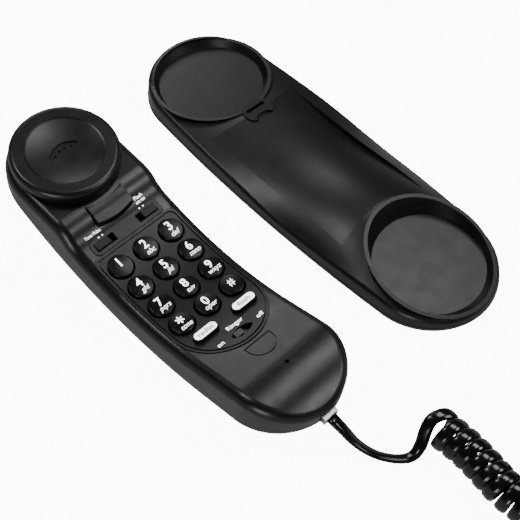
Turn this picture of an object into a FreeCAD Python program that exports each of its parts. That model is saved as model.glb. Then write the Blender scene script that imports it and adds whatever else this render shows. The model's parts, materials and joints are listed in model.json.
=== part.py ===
import FreeCAD, Part
import math
import os
import re

import Sketcher

# A slim corded phone: a cradle base with two dished wells, a keypad handset lying on its back beside it, and
# a curly line cord.  Millimetres, +Z up.  The origin is the middle of the footprint of base and handset.
# Base pieces are drawn about the middle of the base, its long axis along Y.  Handset pieces are drawn in the
# handset's own frame: origin at the middle of the ear cap's rim, X towards the mouth end, Z out of the face.

doc = FreeCAD.newDocument("corded_phone")
dims = doc.addObject("Spreadsheet::Sheet", "dims")

DIMENSIONS = [
    ("base_x", 45.7, "middle of the base"),
    ("base_y", 0.0, "middle of the base"),
    ("base_half_width", 32.7, "outline at the foot, radius of its round ends"),
    ("base_waist", 35.9, "outline at the foot, half way between the ends"),
    ("well_spacing", 153.6, "between the middles of the two wells"),
    ("base_foot", 1.0, "height of the rubber feet"),
    ("plate_thick", 1.7, "bottom plate"),
    ("base_taper", 5.0, "draft of the side wall, degrees"),
    ("base_wall", 2.0, "side wall"),
    ("base_roof", 2.2, "top wall"),
    ("well_wall", 1.6, "sides and floors of the wells"),
    ("high_rim", 12.2, "height of the upper well's rim at its middle"),
    ("high_tilt", 2.8, "degrees"),
    ("high_radius", 28.9, "rim of the upper well"),
    ("high_floor_radius", 26.5, "floor of the upper well"),
    ("high_depth", 3.9, "depth of the upper well"),
    ("high_floor_tilt", 1.2, "degrees"),
    ("low_rim", 14.2, "height of the lower well's rim at its middle"),
    ("low_tilt", 13.6, "degrees"),
    ("low_long", 31.2, "rim of the lower well, along the base"),
    ("low_wide", 27.7, "rim of the lower well, across the base"),
    ("low_floor_radius", 26.8, "floor of the lower well"),
    ("low_depth", 6.5, "depth of the lower well"),
    ("low_floor_tilt", 7.4, "degrees"),
    ("lip_width", 1.9, "raised lip round each well"),
    ("lip_step", 0.6, "how far the lower well's lip stands over the crown"),
    ("crest_height", 20.6, "highest line of the saddle"),
    ("crest_y", -34.0, "place of that line"),
    ("hollow_end", 46.0, "upper end of the hollow along the middle"),
    ("hollow_depth", 2.2, "greatest depth of that hollow under the arched top"),
    ("crown_middle", 17.2, "height of the arched top at the base's middle"),
    ("channel_waist", 16.0, "half width of the channel at its waist"),
    ("channel_radius", 110.0, "plan curve of the crescent ridges"),
    ("clip_x", 2.0, "hook clip, from the base's long axis"),
    ("clip_y", 43.2, "hook clip, from the base's middle"),
    ("clip_half_width", 7.8, "hook clip"),
    ("clip_half_length", 5.4, "hook clip"),
    ("clip_top", 14.0, "top of the hook clip"),
    ("keyhole_spacing", 84.1, "wall plate stud spacing"),
    ("cup_x", -54.5, "middle of the ear cap's rim"),
    ("cup_y", 59.4, "middle of the ear cap's rim"),
    ("handset_yaw", -87.66, "degrees, from +X to the handset's axis"),
    ("handset_tilt", 7.9, "degrees, mouth end down"),
    ("half_width", 27.2, "handset"),
    ("mouth_x", 141.6, "centre of the round mouth end"),
    ("shoulder", -7.5, "flat round the ear cap"),
    ("cove_start", 24.0, "end of the flat"),
    ("cove_middle", 33.2, "where the slope down to the face turns hollow"),
    ("cove_drop", 3.7, "how far it is below the flat there"),
    ("cove_end", 40.0, "start of the hollow face"),
    ("cove_radius", 13.4, "both bends of that slope"),
    ("face_middle", 66.0, "lowest line of the hollow face"),
    ("face_low", -17.0, "height of that line"),
    ("face_radius", 140.0, "hollow of the face"),
    ("face_end", 120.0, "end of the hollow"),
    ("brow_x", 138.0, "start of the rounded mouth end"),
    ("brow_slope", 0.4, "rise of the face before it"),
    ("crest_radius", 34.0, "rounded mouth end"),
    ("back_middle", 64.6, "lowest line of the bulging back"),
    ("back_low", -37.1, "height of that line"),
    ("back_radius", 190.0, "bulge of the back"),
    ("back_end", 123.0, "end of the bulge"),
    ("back_slope", 0.335, "rise of the back beyond it"),
    ("heel_slope", 0.36, "rise of the back at the ear end"),
    ("side_wall", 1.8, "handset shells"),
    ("face_wall", 2.6, "handset shells, face side"),
    ("edge_round", 4.5, "edge of the face side"),
    ("back_round", 5.0, "edge of the back"),
    ("parting_gap", 0.15, "line between the two shells"),
    ("cap_radius", 25.5, "ear cap"),
    ("dish_radius", 18.5, "ear cap"),
    ("dish_depth", 2.2, "ear cap"),
    ("speaker_radius", 18.0, "receiver capsule"),
    ("bezel_start", 46.6, "keypad bezel"),
    ("bezel_middle", 100.0, "centre of its round end"),
    ("bezel_half_width", 23.5, "keypad bezel"),
    ("bezel_rise", 0.35, "how far it stands proud"),
    ("bezel_sink", 1.2, "how far it is let in"),
    ("strip_start", 38.4, "switch strip"),
    ("strip_end", 46.0, "switch strip"),
    ("strip_half_width", 19.5, "switch strip"),
    ("key_column", 14.75, "column pitch of the keys"),
    ("key_row", 13.39, "row pitch of the keys"),
    ("first_row", 55.9, "row of 1 2 3"),
    ("key_radius", 5.6, "top of a round key"),
    ("key_height", 2.1, "over the face"),
    ("pill_x", 107.0, "redial and flash keys"),
    ("pill_y", 11.2, "redial and flash keys"),
    ("pill_length", 13.0, "redial and flash keys"),
    ("pill_width", 5.3, "redial and flash keys"),
    ("slider_x", 42.3, "slide switches"),
    ("slider_y", 12.1, "middle of a slide switch's slot"),
    ("slot_length", 11.0, "slide switch"),
    ("slot_width", 4.2, "slide switch"),
    ("ringer_x", 117.1, "ringer slider"),
    ("paddle_inner", 28.3, "hook paddle, from the cap's axis"),
    ("paddle_outer", 36.2, "hook paddle, from the cap's axis"),
    ("paddle_half_width", 10.0, "hook paddle"),
    ("thumb_x", 125.3, "straight side of the half-round mark"),
    ("mic_x", 143.0, "microphone hole"),
    ("board_start", 26.0, "circuit board"),
    ("board_end", 148.0, "circuit board"),
    ("board_touch", 81.2, "where the board's line is set out from"),
    ("board_top", -20.4, "height of the board there"),
    ("board_slope", 0.10625, "rise of the board"),
    ("board_thick", 1.6, "circuit board"),
    ("jack_z", -6.5, "axis of the cord's plug"),
    ("plug_width", 7.6, "handset plug"),
    ("plug_height", 5.9, "handset plug"),
    ("plug_length", 16.0, "handset plug"),
    ("wall_plug_width", 9.6, "line plug"),
    ("cord_diameter", 4.4, "tube that stands for the flat cord"),
    ("curl_diameter", 15.0, "outside of the curly part"),
    ("screw_radius", 1.3, "shank of a screw"),
    ("screw_head", 2.7, "radius of a screw's head"),
]
for line, (alias, amount, note) in enumerate(DIMENSIONS, start=1):
    dims.set(f"A{line}", alias)
    dims.set(f"B{line}", str(amount))
    dims.setAlias(f"B{line}", alias)
    dims.set(f"C{line}", note)
doc.recompute()
ALIASES = {alias for alias, _, _ in DIMENSIONS}


def bound(formula):
    """A formula over the sheet's aliases, as FreeCAD writes it."""
    return re.sub(r"[a-z_]+", lambda word: "dims." + word[0] if word[0] in ALIASES else word[0], str(formula))


def size(formula):
    """The present value of a formula."""
    return float(dims.evalExpression(bound(formula)))


def bind(thing, **formulas):
    """Tie properties of an object to formulas; Placement is written with underscores for its dots."""
    for name, formula in formulas.items():
        thing.setExpression(name.replace("__", "."), bound(formula))
    return thing


# ---- outlines and sketches

def arc_between(start, end, radius):
    """The smaller arc from start to end: radius above 0 turns left, below 0 turns right."""
    chord = end - start
    reach = math.sqrt(max(radius * radius - chord.Length ** 2 / 4, 0))
    left = FreeCAD.Vector(-chord.y, chord.x, 0).normalize()
    centre = (start + end) / 2 + left * math.copysign(reach, radius)
    first, last = (start, end) if radius > 0 else (end, start)
    low = math.atan2(first.y - centre.y, first.x - centre.x)
    high = math.atan2(last.y - centre.y, last.x - centre.x)
    if high < low:
        high += 2 * math.pi
    return Part.ArcOfCircle(Part.Circle(centre, FreeCAD.Vector(0, 0, 1), abs(radius)), low, high)


def pin_down(sketch, shape, end, x, y):
    """Tie one point of a sketch to two formulas."""
    for kind, axis, formula in (("DistanceX", -2, x), ("DistanceY", -1, y)):
        amount = size(formula)
        if abs(amount) < 1e-9:
            sketch.addConstraint(Sketcher.Constraint("PointOnObject", shape, end, axis))
            continue
        place = sketch.addConstraint(Sketcher.Constraint(kind, -1, 1, shape, end, amount))
        sketch.setExpression(f"Constraints[{place}]", bound(formula))


def draw(sketch, corners):
    """A closed outline.  A corner is (x, y) before a straight side, or (x, y, radius) before an arc."""
    spots = [FreeCAD.Vector(size(corner[0]), size(corner[1]), 0) for corner in corners]
    ends = []
    for place, corner in enumerate(corners):
        start, end = spots[place], spots[(place + 1) % len(spots)]
        if len(corner) == 2:
            shape = sketch.addGeometry(Part.LineSegment(start, end))
            ends.append((shape, 1, 2))
            continue
        radius = size(corner[2])
        shape = sketch.addGeometry(arc_between(start, end, radius))
        ends.append((shape, 1, 2) if radius > 0 else (shape, 2, 1))
        length = sketch.addConstraint(Sketcher.Constraint("Radius", shape, abs(radius)))
        sketch.setExpression(f"Constraints[{length}]", bound(f"abs({corner[2]})"))
    for place, (shape, start, _) in enumerate(ends):
        before, _, last = ends[place - 1]
        sketch.addConstraint(Sketcher.Constraint("Coincident", before, last, shape, start))
        pin_down(sketch, shape, start, *corners[place][:2])


def draw_circle(sketch, x, y, radius):
    spot = FreeCAD.Vector(size(x), size(y), 0)
    shape = sketch.addGeometry(Part.Circle(spot, FreeCAD.Vector(0, 0, 1), size(radius)))
    length = sketch.addConstraint(Sketcher.Constraint("Radius", shape, size(radius)))
    sketch.setExpression(f"Constraints[{length}]", bound(radius))
    pin_down(sketch, shape, 3, x, y)


def rounded(x0, x1, y0, y1, radius):
    """Corners of a rectangle with round corners."""
    return [
        (f"{x0} + {radius}", y0), (f"{x1} - {radius}", y0, radius),
        (x1, f"{y0} + {radius}"), (x1, f"{y1} - {radius}", radius),
        (f"{x1} - {radius}", y1), (f"{x0} + {radius}", y1, radius),
        (x0, f"{y1} - {radius}"), (x0, f"{y0} + {radius}", radius),
    ]


def stadium(x0, x1, radius):
    """Corners of a band with half-round ends, centred on x0 and x1."""
    return [
        (x0, f"-({radius})"), (x1, f"-({radius})", radius), (f"{x1} + {radius}", "0", radius),
        (x1, radius), (x0, radius, radius), (f"{x0} - ({radius})", "0", radius),
    ]


UPRIGHT_X = FreeCAD.Rotation(FreeCAD.Vector(1, 0, 0), 90)        # sketch x, y become X, Z
UPRIGHT_Y = FreeCAD.Rotation(FreeCAD.Vector(1, 1, 1), 120)       # sketch x, y become Y, Z
FLAT = FreeCAD.Rotation()


# ---- Part solids

def prism(name, corners, rotation=FLAT, start="0", length="100", both_ways=False):
    """A straight prism on an outline.  Flat ones stand on z = start, upright ones are centred."""
    sketch = doc.addObject("Sketcher::SketchObject", name + "_outline")
    sketch.Placement = FreeCAD.Placement(FreeCAD.Vector(0, 0, 0), rotation)
    if rotation is FLAT:
        bind(sketch, Placement__Base__z=start)
    draw(sketch, corners)
    solid = doc.addObject("Part::Extrusion", name)
    solid.Base = sketch
    solid.DirMode = "Normal"
    solid.Solid = True
    solid.Symmetric = both_ways
    return bind(solid, LengthFwd=length)


def box(name, x, y, z, long, wide, high):
    """A box centred on x and y that stands on z."""
    solid = doc.addObject("Part::Box", name)
    bind(solid, Length=long, Width=wide, Height=high)
    return bind(solid, Placement__Base__x=f"{x} - ({long}) / 2", Placement__Base__y=f"{y} - ({wide}) / 2",
                Placement__Base__z=z)


def cylinder(name, x, y, z, radius, height):
    solid = doc.addObject("Part::Cylinder", name)
    bind(solid, Radius=radius, Height=height)
    return bind(solid, Placement__Base__x=x, Placement__Base__y=y, Placement__Base__z=z)


def grouped(name, *pieces):
    """Separate solids kept as one piece."""
    solid = doc.addObject("Part::Compound", name)
    solid.Links = list(pieces)
    return solid


def joined(name, *pieces):
    solid = doc.addObject("Part::MultiFuse", name)
    solid.Shapes = list(pieces)
    return solid


def shared(name, *pieces):
    solid = doc.addObject("Part::MultiCommon", name)
    solid.Shapes = list(pieces)
    return solid


def without(name, base, *tools):
    solid = doc.addObject("Part::Cut", name)
    solid.Base = base
    solid.Tool = tools[0] if len(tools) == 1 else joined(name + "_tools", *tools)
    return solid


def rounded_edges(name, base, choose):
    """Round the edges for which choose(edge) gives a radius."""
    doc.recompute()
    solid = doc.addObject("Part::Fillet", name)
    solid.Base = base
    radii = [(place, choose(edge)) for place, edge in enumerate(base.Shape.Edges, start=1)]
    solid.Edges = [(place, radius, radius) for place, radius in radii if radius]
    return solid


# ---- PartDesign bodies

def new_body(label):
    return doc.addObject("PartDesign::Body", label)


def sketch_on(body, role, lift="0"):
    """A sketch on one of the body's own origin planes, lifted along the plane's normal."""
    sketch = body.newObject("Sketcher::SketchObject", f"{body.Name}_sketch")
    plane = next(feature for feature in body.Origin.OriginFeatures if feature.Role == role)
    sketch.AttachmentSupport = [(plane, "")]
    sketch.MapMode = "FlatFace"
    sketch.setExpression("AttachmentOffset.Base.z", bound(lift))
    return sketch


def pad(body, sketch, length, symmetric=False):
    feature = body.newObject("PartDesign::Pad", f"{body.Name}_pad")
    feature.Profile = sketch
    feature.SideType = "Symmetric" if symmetric else "One side"
    return bind(feature, Length=length)


def pocket(body, sketch, length, symmetric=False):
    """Cut down from the sketch, against its normal."""
    doc.recompute()
    before = body.Shape.Volume
    feature = body.newObject("PartDesign::Pocket", f"{body.Name}_pocket")
    feature.Profile = sketch
    feature.SideType = "Symmetric" if symmetric else "One side"
    bind(feature, Length=length)
    doc.recompute()
    if body.Shape.Volume > before - 1e-6:
        raise RuntimeError(f"{feature.Name} cuts nothing")
    return feature


def revolve(body, corners):
    """A round solid about the body's Z axis, from an outline of radius and height."""
    sketch = sketch_on(body, "XZ_Plane")
    draw(sketch, corners)
    feature = body.newObject("PartDesign::Revolution", f"{body.Name}_turn")
    feature.Profile = sketch
    feature.ReferenceAxis = (sketch, ["V_Axis"])
    feature.Angle = 360
    return feature


def turned(label, corners):
    body = new_body(label)
    revolve(body, corners)
    return body


def dome_radius(half_width, height):
    """Radius of a round dome or dish from its half width and its height."""
    return f"(({half_width}^2 + {height}^2) / (2 * {height}))"


def padded(label, corners, start, length):
    body = new_body(label)
    sketch = sketch_on(body, "XY_Plane", start)
    draw(sketch, corners)
    pad(body, sketch, length)
    return body


# ---- finished pieces

pieces = {}


def keep(label, thing, placement=None):
    """Name a finished piece and put it in its place."""
    thing.Label = label
    if placement:
        thing.Placement = placement
    pieces[label] = thing
    return thing


def turned_about(axis, angle):
    return FreeCAD.Placement(FreeCAD.Vector(0, 0, 0), FreeCAD.Rotation(axis, angle))


def moved(x, y, z):
    return FreeCAD.Placement(FreeCAD.Vector(size(x), size(y), size(z)), FreeCAD.Rotation())


X_AXIS = FreeCAD.Vector(1, 0, 0)
Y_AXIS = FreeCAD.Vector(0, 1, 0)
Z_AXIS = FreeCAD.Vector(0, 0, 1)

base_place = moved("base_x", "base_y", "0")
# The handset lies on the bulge of its back, so its height follows from that bulge and its tilt.
tilt = math.radians(size("handset_tilt"))
cup_z = size("back_radius") + size("back_middle") * math.sin(tilt) \
    - (size("back_low") + size("back_radius")) * math.cos(tilt)
handset_place = moved("cup_x", "cup_y", cup_z) \
    * turned_about(Z_AXIS, size("handset_yaw")) * turned_about(Y_AXIS, size("handset_tilt"))


# ======== base ========

def base_outline(grow):
    """The base's plan, inside or outside its foot: round ends joined by long tangent arcs."""
    end, waist, along = f"(base_half_width + {grow})", f"(base_waist + {grow})", "well_spacing / 2"
    side = f"(({waist}^2 - {end}^2 + ({along})^2) / (2 * (base_waist - base_half_width)))"
    meet_x = f"({end} * ({side} - {waist}) / ({side} - {end}))"
    meet_y = f"({along} + {end} * {along} / ({side} - {end}))"
    return [
        (meet_x, f"-{meet_y}", side), (meet_x, meet_y, end), ("0", f"{along} + {end}", end),
        (f"-{meet_x}", meet_y, side), (f"-{meet_x}", f"-{meet_y}", end), ("0", f"-({along} + {end})", end),
    ]


def base_block(name, inset, start, height):
    """The base's outline as a solid with drafted sides."""
    body = new_body(name)
    sketch = sketch_on(body, "XY_Plane", start)
    draw(sketch, base_outline(f"(-{inset})"))
    bind(pad(body, sketch, height), TaperAngle="-base_taper")
    return body


def high_line(y):
    """Height of the upper well's rim plane at y."""
    return f"(high_rim - tan(high_tilt * 1deg) * ({y} - well_spacing / 2))"


def low_line(y):
    """Height of the lower well's rim plane at y."""
    return f"(low_rim + tan(low_tilt * 1deg) * ({y} + well_spacing / 2))"


# Arches across the base, from the lower end to the upper one: place, height of the top, radius, and depth of
# the hollow there.
ARCHES = [
    ("-115", low_line("-115"), "200", "0"), ("-well_spacing / 2", "low_rim", "110", "-0.1"),
    ("-50", f"{low_line('-50')} - lip_step", "56", "-0.1"),
    ("crest_y", "crest_height + 0.4", "52", "hollow_depth * 0.45"),
    ("0", "crown_middle", "68", "hollow_depth"), ("24", "crown_middle - 1.9", "100", "hollow_depth * 0.8"),
    ("hollow_end", "high_rim + 1.1", "160", "-0.1"),
    ("well_spacing / 2", "high_rim", "250", "-0.1"), ("115", high_line("115"), "300", "0"),
]


def crown(name, drop, hollowed=False):
    """Everything under the arched top, or under a surface that far below it, with or without its hollow."""
    half = "44"
    sections = []
    for y, height, radius, hollow in ARCHES:
        arch = doc.addObject("Sketcher::SketchObject", name + "_arch")
        arch.Placement = FreeCAD.Placement(FreeCAD.Vector(0, size(y), 0), UPRIGHT_X)
        top = f"{height} - {drop} - {hollow}" if hollowed else f"{height} - {drop}"
        foot = f"{top} - {radius} + sqrt({radius}^2 - {half}^2)"
        draw(arch, [(f"-{half}", "-20"), (half, "-20"), (half, foot, radius), (f"-{half}", foot)])
        sections.append(arch)
    solid = doc.addObject("Part::Loft", name)
    solid.Sections = sections
    solid.Solid = True
    solid.Ruled = False
    return solid


def well(name, side, rim, tilt_down, along, across, floor_radius, depth, floor_tilt, grow):
    """The hollow of a well: a tapering bowl up to its tilted rim, and a straight prism over it."""
    ring = doc.addObject("Part::Ellipse", name + "_rim")
    floor = doc.addObject("Part::Ellipse", name + "_floor")
    floor_height = f"{rim} - {depth} - {grow}"
    for curve, long, wide, height, slant in (
            (ring, along, across, rim, tilt_down),
            (floor, floor_radius, floor_radius, floor_height, floor_tilt)):
        bind(curve, MajorRadius=f"{long} + {grow} + 0.001", MinorRadius=f"{wide} + {grow}")
        lean = turned_about(X_AXIS, side * -size(slant))
        spin = turned_about(Z_AXIS, 90)
        curve.Placement = moved("0", f"{side} * well_spacing / 2", height) * lean * spin
    bowl = doc.addObject("Part::Loft", name + "_bowl")
    bowl.Sections = [floor, ring]
    bowl.Solid = True
    bowl.Ruled = True
    over = doc.addObject("Part::Extrusion", name + "_over")
    over.Base = ring
    over.DirMode = "Normal"
    over.Solid = True
    over.LengthFwd = 16
    return joined(name, bowl, over)


def high_well(name, grow):
    return well(name, 1, "high_rim", "high_tilt", "high_radius", "high_radius", "high_floor_radius",
                "high_depth", "high_floor_tilt", grow)


def low_well(name, grow):
    return well(name, -1, "low_rim", "low_tilt", "low_long", "low_wide", "low_floor_radius",
                "low_depth", "low_floor_tilt", grow)


def lip(name, well_solid, line, end):
    """The raised ring round a well, level with the rim plane."""
    corners = [("0", line("0")), (end, line(end)), (end, "90"), ("0", "90")]
    outline = corners if size(end) > 0 else corners[::-1]
    sky = prism(name + "_sky", outline, UPRIGHT_Y, length="90", both_ways=True)
    limit = base_block(name + "_limit", "0.3", "base_foot + plate_thick", "30")
    return shared(name, limit, without(name + "_ring", well_solid, sky))


def top_rim(edge):
    """Radius for the edges where the base's top meets its side."""
    middle = edge.valueAt((edge.FirstParameter + edge.LastParameter) / 2)
    return TOP_ROUND if middle.z > size("base_foot + plate_thick") + 1 and edge.Length > 8 else 0


TOP_ROUND = 2.5
blank = shared("base_solid", base_block("base_blank", "0", "base_foot + plate_thick", "30"),
               crown("base_crown", "0"))
blank = rounded_edges("base_rounded", blank, top_rim)
# The hollow along the middle is bounded by two crescent ridges, one along each side.
bay = "(channel_waist + channel_radius - sqrt(channel_radius^2 - hollow_end^2))"
channel_plan = prism("channel_plan", [(bay, "-hollow_end"), (bay, "hollow_end", "-channel_radius"),
                                      (f"-{bay}", "hollow_end"), (f"-{bay}", "-hollow_end", "-channel_radius")],
                     start="2", length="40")
blank = without("base_ridged", blank, without("channel", channel_plan, crown("channel_floor", "0", True)))
blank = joined("base_lipped", blank,
               lip("high_lip", high_well("high_lip_well", "lip_width"), high_line, "115"),
               lip("low_lip", low_well("low_lip_well", "lip_width"), low_line, "-115"))
inside_walls = base_block("base_inside_walls", "base_wall", "base_foot + plate_thick - 1", "30")
inside = shared("base_inside", inside_walls, crown("base_inside_crown", "base_roof", True))
cavity = without("base_cavity", inside, high_well("high_well_wall", "well_wall"),
                 low_well("low_well_wall", "well_wall - 0.3"))
SCREWS_X, SCREWS_Y = "22", "37"
base_screw_places = [(f"{across} * {SCREWS_X}", f"{along} * {SCREWS_Y}")
                     for across in (-1, 1) for along in (-1, 1)]
posts = [shared("base_post", cylinder("base_post_blank", x, y, "base_foot + plate_thick", "3.4", "25"),
                crown("base_post_crown", "0.8", True)) for x, y in base_screw_places]
pilots = [cylinder("base_pilot", x, y, "base_foot + plate_thick - 1", "screw_radius + 0.05", "7")
          for x, y in base_screw_places]
clip_well = prism("clip_seat", rounded("clip_x - clip_half_width - 0.25", "clip_x + clip_half_width + 0.25",
                                       "clip_y - clip_half_length - 0.25", "clip_y + clip_half_length + 0.25",
                                       "4.6"), start="base_foot + plate_thick + 1.5", length="30")
shell_and_posts = joined("base_shell", without("base_hollow", blank, cavity), *posts)
keep("base_cover", without("base_cover_solid", shell_and_posts, high_well("high_hollow", "0"),
                           low_well("low_hollow", "0"), clip_well, *pilots), base_place)

# The bottom plate closes the cover from below; the cover's side wall stands on its rim.
plate = new_body("bottom_plate_body")
sketch = sketch_on(plate, "XY_Plane", "base_foot")
draw(sketch, base_outline("0.2"))
pad(plate, sketch, "plate_thick")
holes = sketch_on(plate, "XY_Plane", "base_foot + plate_thick")
for x, y in base_screw_places:
    draw_circle(holes, x, y, "screw_radius + 0.2")
pocket(plate, holes, "plate_thick")
sinks = sketch_on(plate, "XY_Plane", "base_foot + 0.9")
for x, y in base_screw_places:
    draw_circle(sinks, x, y, "screw_head + 0.3")
pocket(plate, sinks, "0.9")
# Two keyholes hang the base on the studs of a wall plate: a round hole, then a slot upwards.
for end in (-1, 1):
    keyhole = sketch_on(plate, "XY_Plane", "base_foot + plate_thick")
    draw_circle(keyhole, "0", f"{end} * keyhole_spacing / 2 - 6", "4.4")
    pocket(plate, keyhole, "plate_thick")
    slot = sketch_on(plate, "XY_Plane", "base_foot + plate_thick")
    middle = f"({end} * keyhole_spacing / 2)"
    draw(slot, [("2.2", f"{middle} - 6"), ("2.2", middle, "2.2"), ("0", f"{middle} + 2.2", "2.2"),
                ("-2.2", middle), ("-2.2", f"{middle} - 6")])
    pocket(plate, slot, "plate_thick")
keep("base_bottom_plate", plate, base_place)

weight = padded("weight_body", rounded("-20", "20", "-27", "27", "3"), "base_foot + plate_thick + 0.1", "5")
keep("base_weight", weight, base_place)

keep("rubber_feet", grouped("feet", *[
    cylinder("foot", f"{across} * 19", f"{along} * 72", "0", "5", "base_foot")
    for across in (-1, 1) for along in (-1, 1)]), base_place)


def screw(name, x, y, z, height):
    """A screw driven upwards: its head starts at z."""
    return joined(name, cylinder(name + "_head", x, y, z, "screw_head", "0.85"),
                  cylinder(name + "_shank", x, y, f"{z} + 0.85", "screw_radius", f"{height} - 0.85"))


keep("base_screws", grouped("base_screw_group", *[
    screw("base_screw", x, y, "base_foot + 0.05", "7") for x, y in base_screw_places]), base_place)

# The hook clip slides in the upper well's edge.  Turned round, its tooth holds the handset on a wall.
clip = padded("clip_body", rounded("clip_x - clip_half_width", "clip_x + clip_half_width",
                                   "clip_y - clip_half_length", "clip_y + clip_half_length", "4.4"),
              "base_foot + plate_thick + 1.7", "clip_top - base_foot - plate_thick - 1.7")
slit = sketch_on(clip, "XY_Plane", "clip_top")
draw(slit, rounded("clip_x - 5.6", "clip_x + 5.6", "clip_y + 1.0", "clip_y + 3.0", "0.9"))
pocket(clip, slit, "2.5")
nail = sketch_on(clip, "XY_Plane", "clip_top")
draw(nail, [("clip_x - 4.6", "clip_y - 6"), ("clip_x + 4.6", "clip_y - 6"),
            ("clip_x + 4.6", "clip_y - 4.4", "6.5"), ("clip_x - 4.6", "clip_y - 4.4")])
pocket(clip, nail, "1.2")
keep("hook_clip", clip, base_place)


# ======== handset ========

def on_face(x, rise="0"):
    """Height of the hollow face, or of a surface parallel to it, at x."""
    return (f"(face_low + face_radius - sqrt((face_radius - ({rise}))^2 - "
            f"(({x}) - face_middle)^2))")


def on_back(x):
    """Height of the bulging back at x."""
    return f"(back_low + back_radius - sqrt(back_radius^2 - (({x}) - back_middle)^2))"


brow = f"({on_face('face_end')} + brow_slope * (brow_x - face_end))"
crest_x = "(brow_x + crest_radius * sin(atan(brow_slope)))"
crest_z = f"({brow} - crest_radius * cos(atan(brow_slope)))"


def side_view(top_drop, back_rise):
    """The handset's side view, with the face lowered and the back raised by a wall's thickness."""
    heel = f"({on_back('0')} + {back_rise})"
    tail = f"({on_back('back_end')} + {back_rise})"
    end = f"({crest_z} + sqrt(crest_radius^2 - (174 - {crest_x})^2) - {top_drop})"
    return [
        ("-30", f"{heel} + 30 * heel_slope"), ("0", heel, "back_radius"), ("back_end", tail),
        ("174", f"{tail} + (174 - back_end) * back_slope"), ("174", end, "crest_radius"),
        ("brow_x", f"{brow} - {top_drop}"),
        ("face_end", f"{on_face('face_end')} - {top_drop}", "-face_radius"),
        ("cove_end", f"{on_face('cove_end')} - {top_drop}", "-cove_radius"),
        ("cove_middle", f"shoulder - cove_drop - {top_drop}", "cove_radius"),
        ("cove_start", f"shoulder - {top_drop}"), ("-30", f"shoulder - {top_drop}"),
    ]


def form(name, inset, top_drop, edge, back_edge):
    """The handset's solid form, or the hollow a wall's thickness inside it."""
    solid = shared(name + "_sharp",
                   prism(name + "_side", side_view(top_drop, inset), UPRIGHT_X, length="80", both_ways=True),
                   prism(name + "_plan", stadium("0", "mouth_x", f"(half_width - {inset})"), start="-60",
                         length="90"))

    def radius(shape_edge):
        middle = shape_edge.valueAt((shape_edge.FirstParameter + shape_edge.LastParameter) / 2)
        across_middle = abs(middle.y) < size("half_width") * 0.55 and -5 < middle.x < size("mouth_x") + 5
        upright = abs(shape_edge.tangentAt(shape_edge.FirstParameter).z) > 0.99
        if across_middle or upright:
            return 0
        return size(edge) if middle.z > parting_height(middle.x) else size(back_edge)

    return rounded_edges(name, solid, radius)


PARTING = [("-34", "-10.3"), ("20", "-20", "215"), ("110", "-22"), ("180", "-5.2")]


def parting_height(x):
    """Roughly the height of the parting line at x."""
    if x < 20:
        return -20 - (x - 20) * 0.18
    return -25 if x < 110 else -22 + (x - 110) * 0.24


def face_side(name, drop="0"):
    """Everything on the face's side of the parting line between the shells."""
    corners = [(x, f"{z} - {drop}", *turn) for x, z, *turn in PARTING]
    return prism(name, corners + [("180", "30"), ("-34", "30")], UPRIGHT_X, length="80", both_ways=True)


def face_band(name, low, high):
    """A curved layer parallel to the hollow face, between two heights over it."""
    ends = ("36", "127")
    corners = [
        (ends[0], on_face(ends[0], low), f"face_radius - ({low})"), (ends[1], on_face(ends[1], low)),
        (ends[1], on_face(ends[1], high), f"-(face_radius - ({high}))"), (ends[0], on_face(ends[0], high)),
    ]
    return prism(name, corners, UPRIGHT_X, length="80", both_ways=True)


def bezel_plan(name, inset):
    """The keypad bezel's outline: square towards the ear, round towards the mouth."""
    start, half, middle = f"(bezel_start + {inset})", f"(bezel_half_width - {inset})", "bezel_middle"
    return prism(name, [
        (f"{start} + 3", f"-{half}"), (middle, f"-{half}", half), (f"{middle} + {half}", "0", half),
        (middle, half), (f"{start} + 3", half, "3"), (start, f"{half} - 3"), (start, f"-{half} + 3", "3"),
    ], start="-40", length="60")


def strip_plan(name, inset):
    """The switch strip's outline."""
    return prism(name, rounded(f"(strip_start + {inset})", f"(strip_end - {inset})",
                               f"(-strip_half_width + {inset})", f"(strip_half_width - {inset})",
                               "2.2"), start="-40", length="60")


def place_on_face(x, y, rise="0"):
    """A placement on the hollow face with its Z along the face's normal."""
    lean = math.degrees(math.asin((size(x) - size("face_middle")) / size("face_radius")))
    return moved(x, y, on_face(x)) * turned_about(Y_AXIS, -lean) * moved("0", "0", rise)


def cut_at(name, place, corners, start, length):
    """A prism on an outline drawn at a placement, for cutting."""
    tool = prism(name, corners, start=start, length=length)
    holder = grouped(name + "_placed", tool)
    holder.Placement = place
    return holder


KEYS = [
    ("key_1", 0, -1), ("key_2", 0, 0), ("key_3", 0, 1), ("key_4", 1, -1), ("key_5", 1, 0), ("key_6", 1, 1),
    ("key_7", 2, -1), ("key_8", 2, 0), ("key_9", 2, 1),
    ("key_star", 3, -1), ("key_0", 3, 0), ("key_hash", 3, 1),
]


def key_place(row, column):
    return place_on_face(f"first_row + {row} * key_row", f"{column} * key_column")


shell = without("handset_shell", form("handset_form", "0", "0", "edge_round", "back_round"),
                form("handset_hollow", "side_wall", "face_wall", "0", "back_round - 1.6"))

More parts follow.
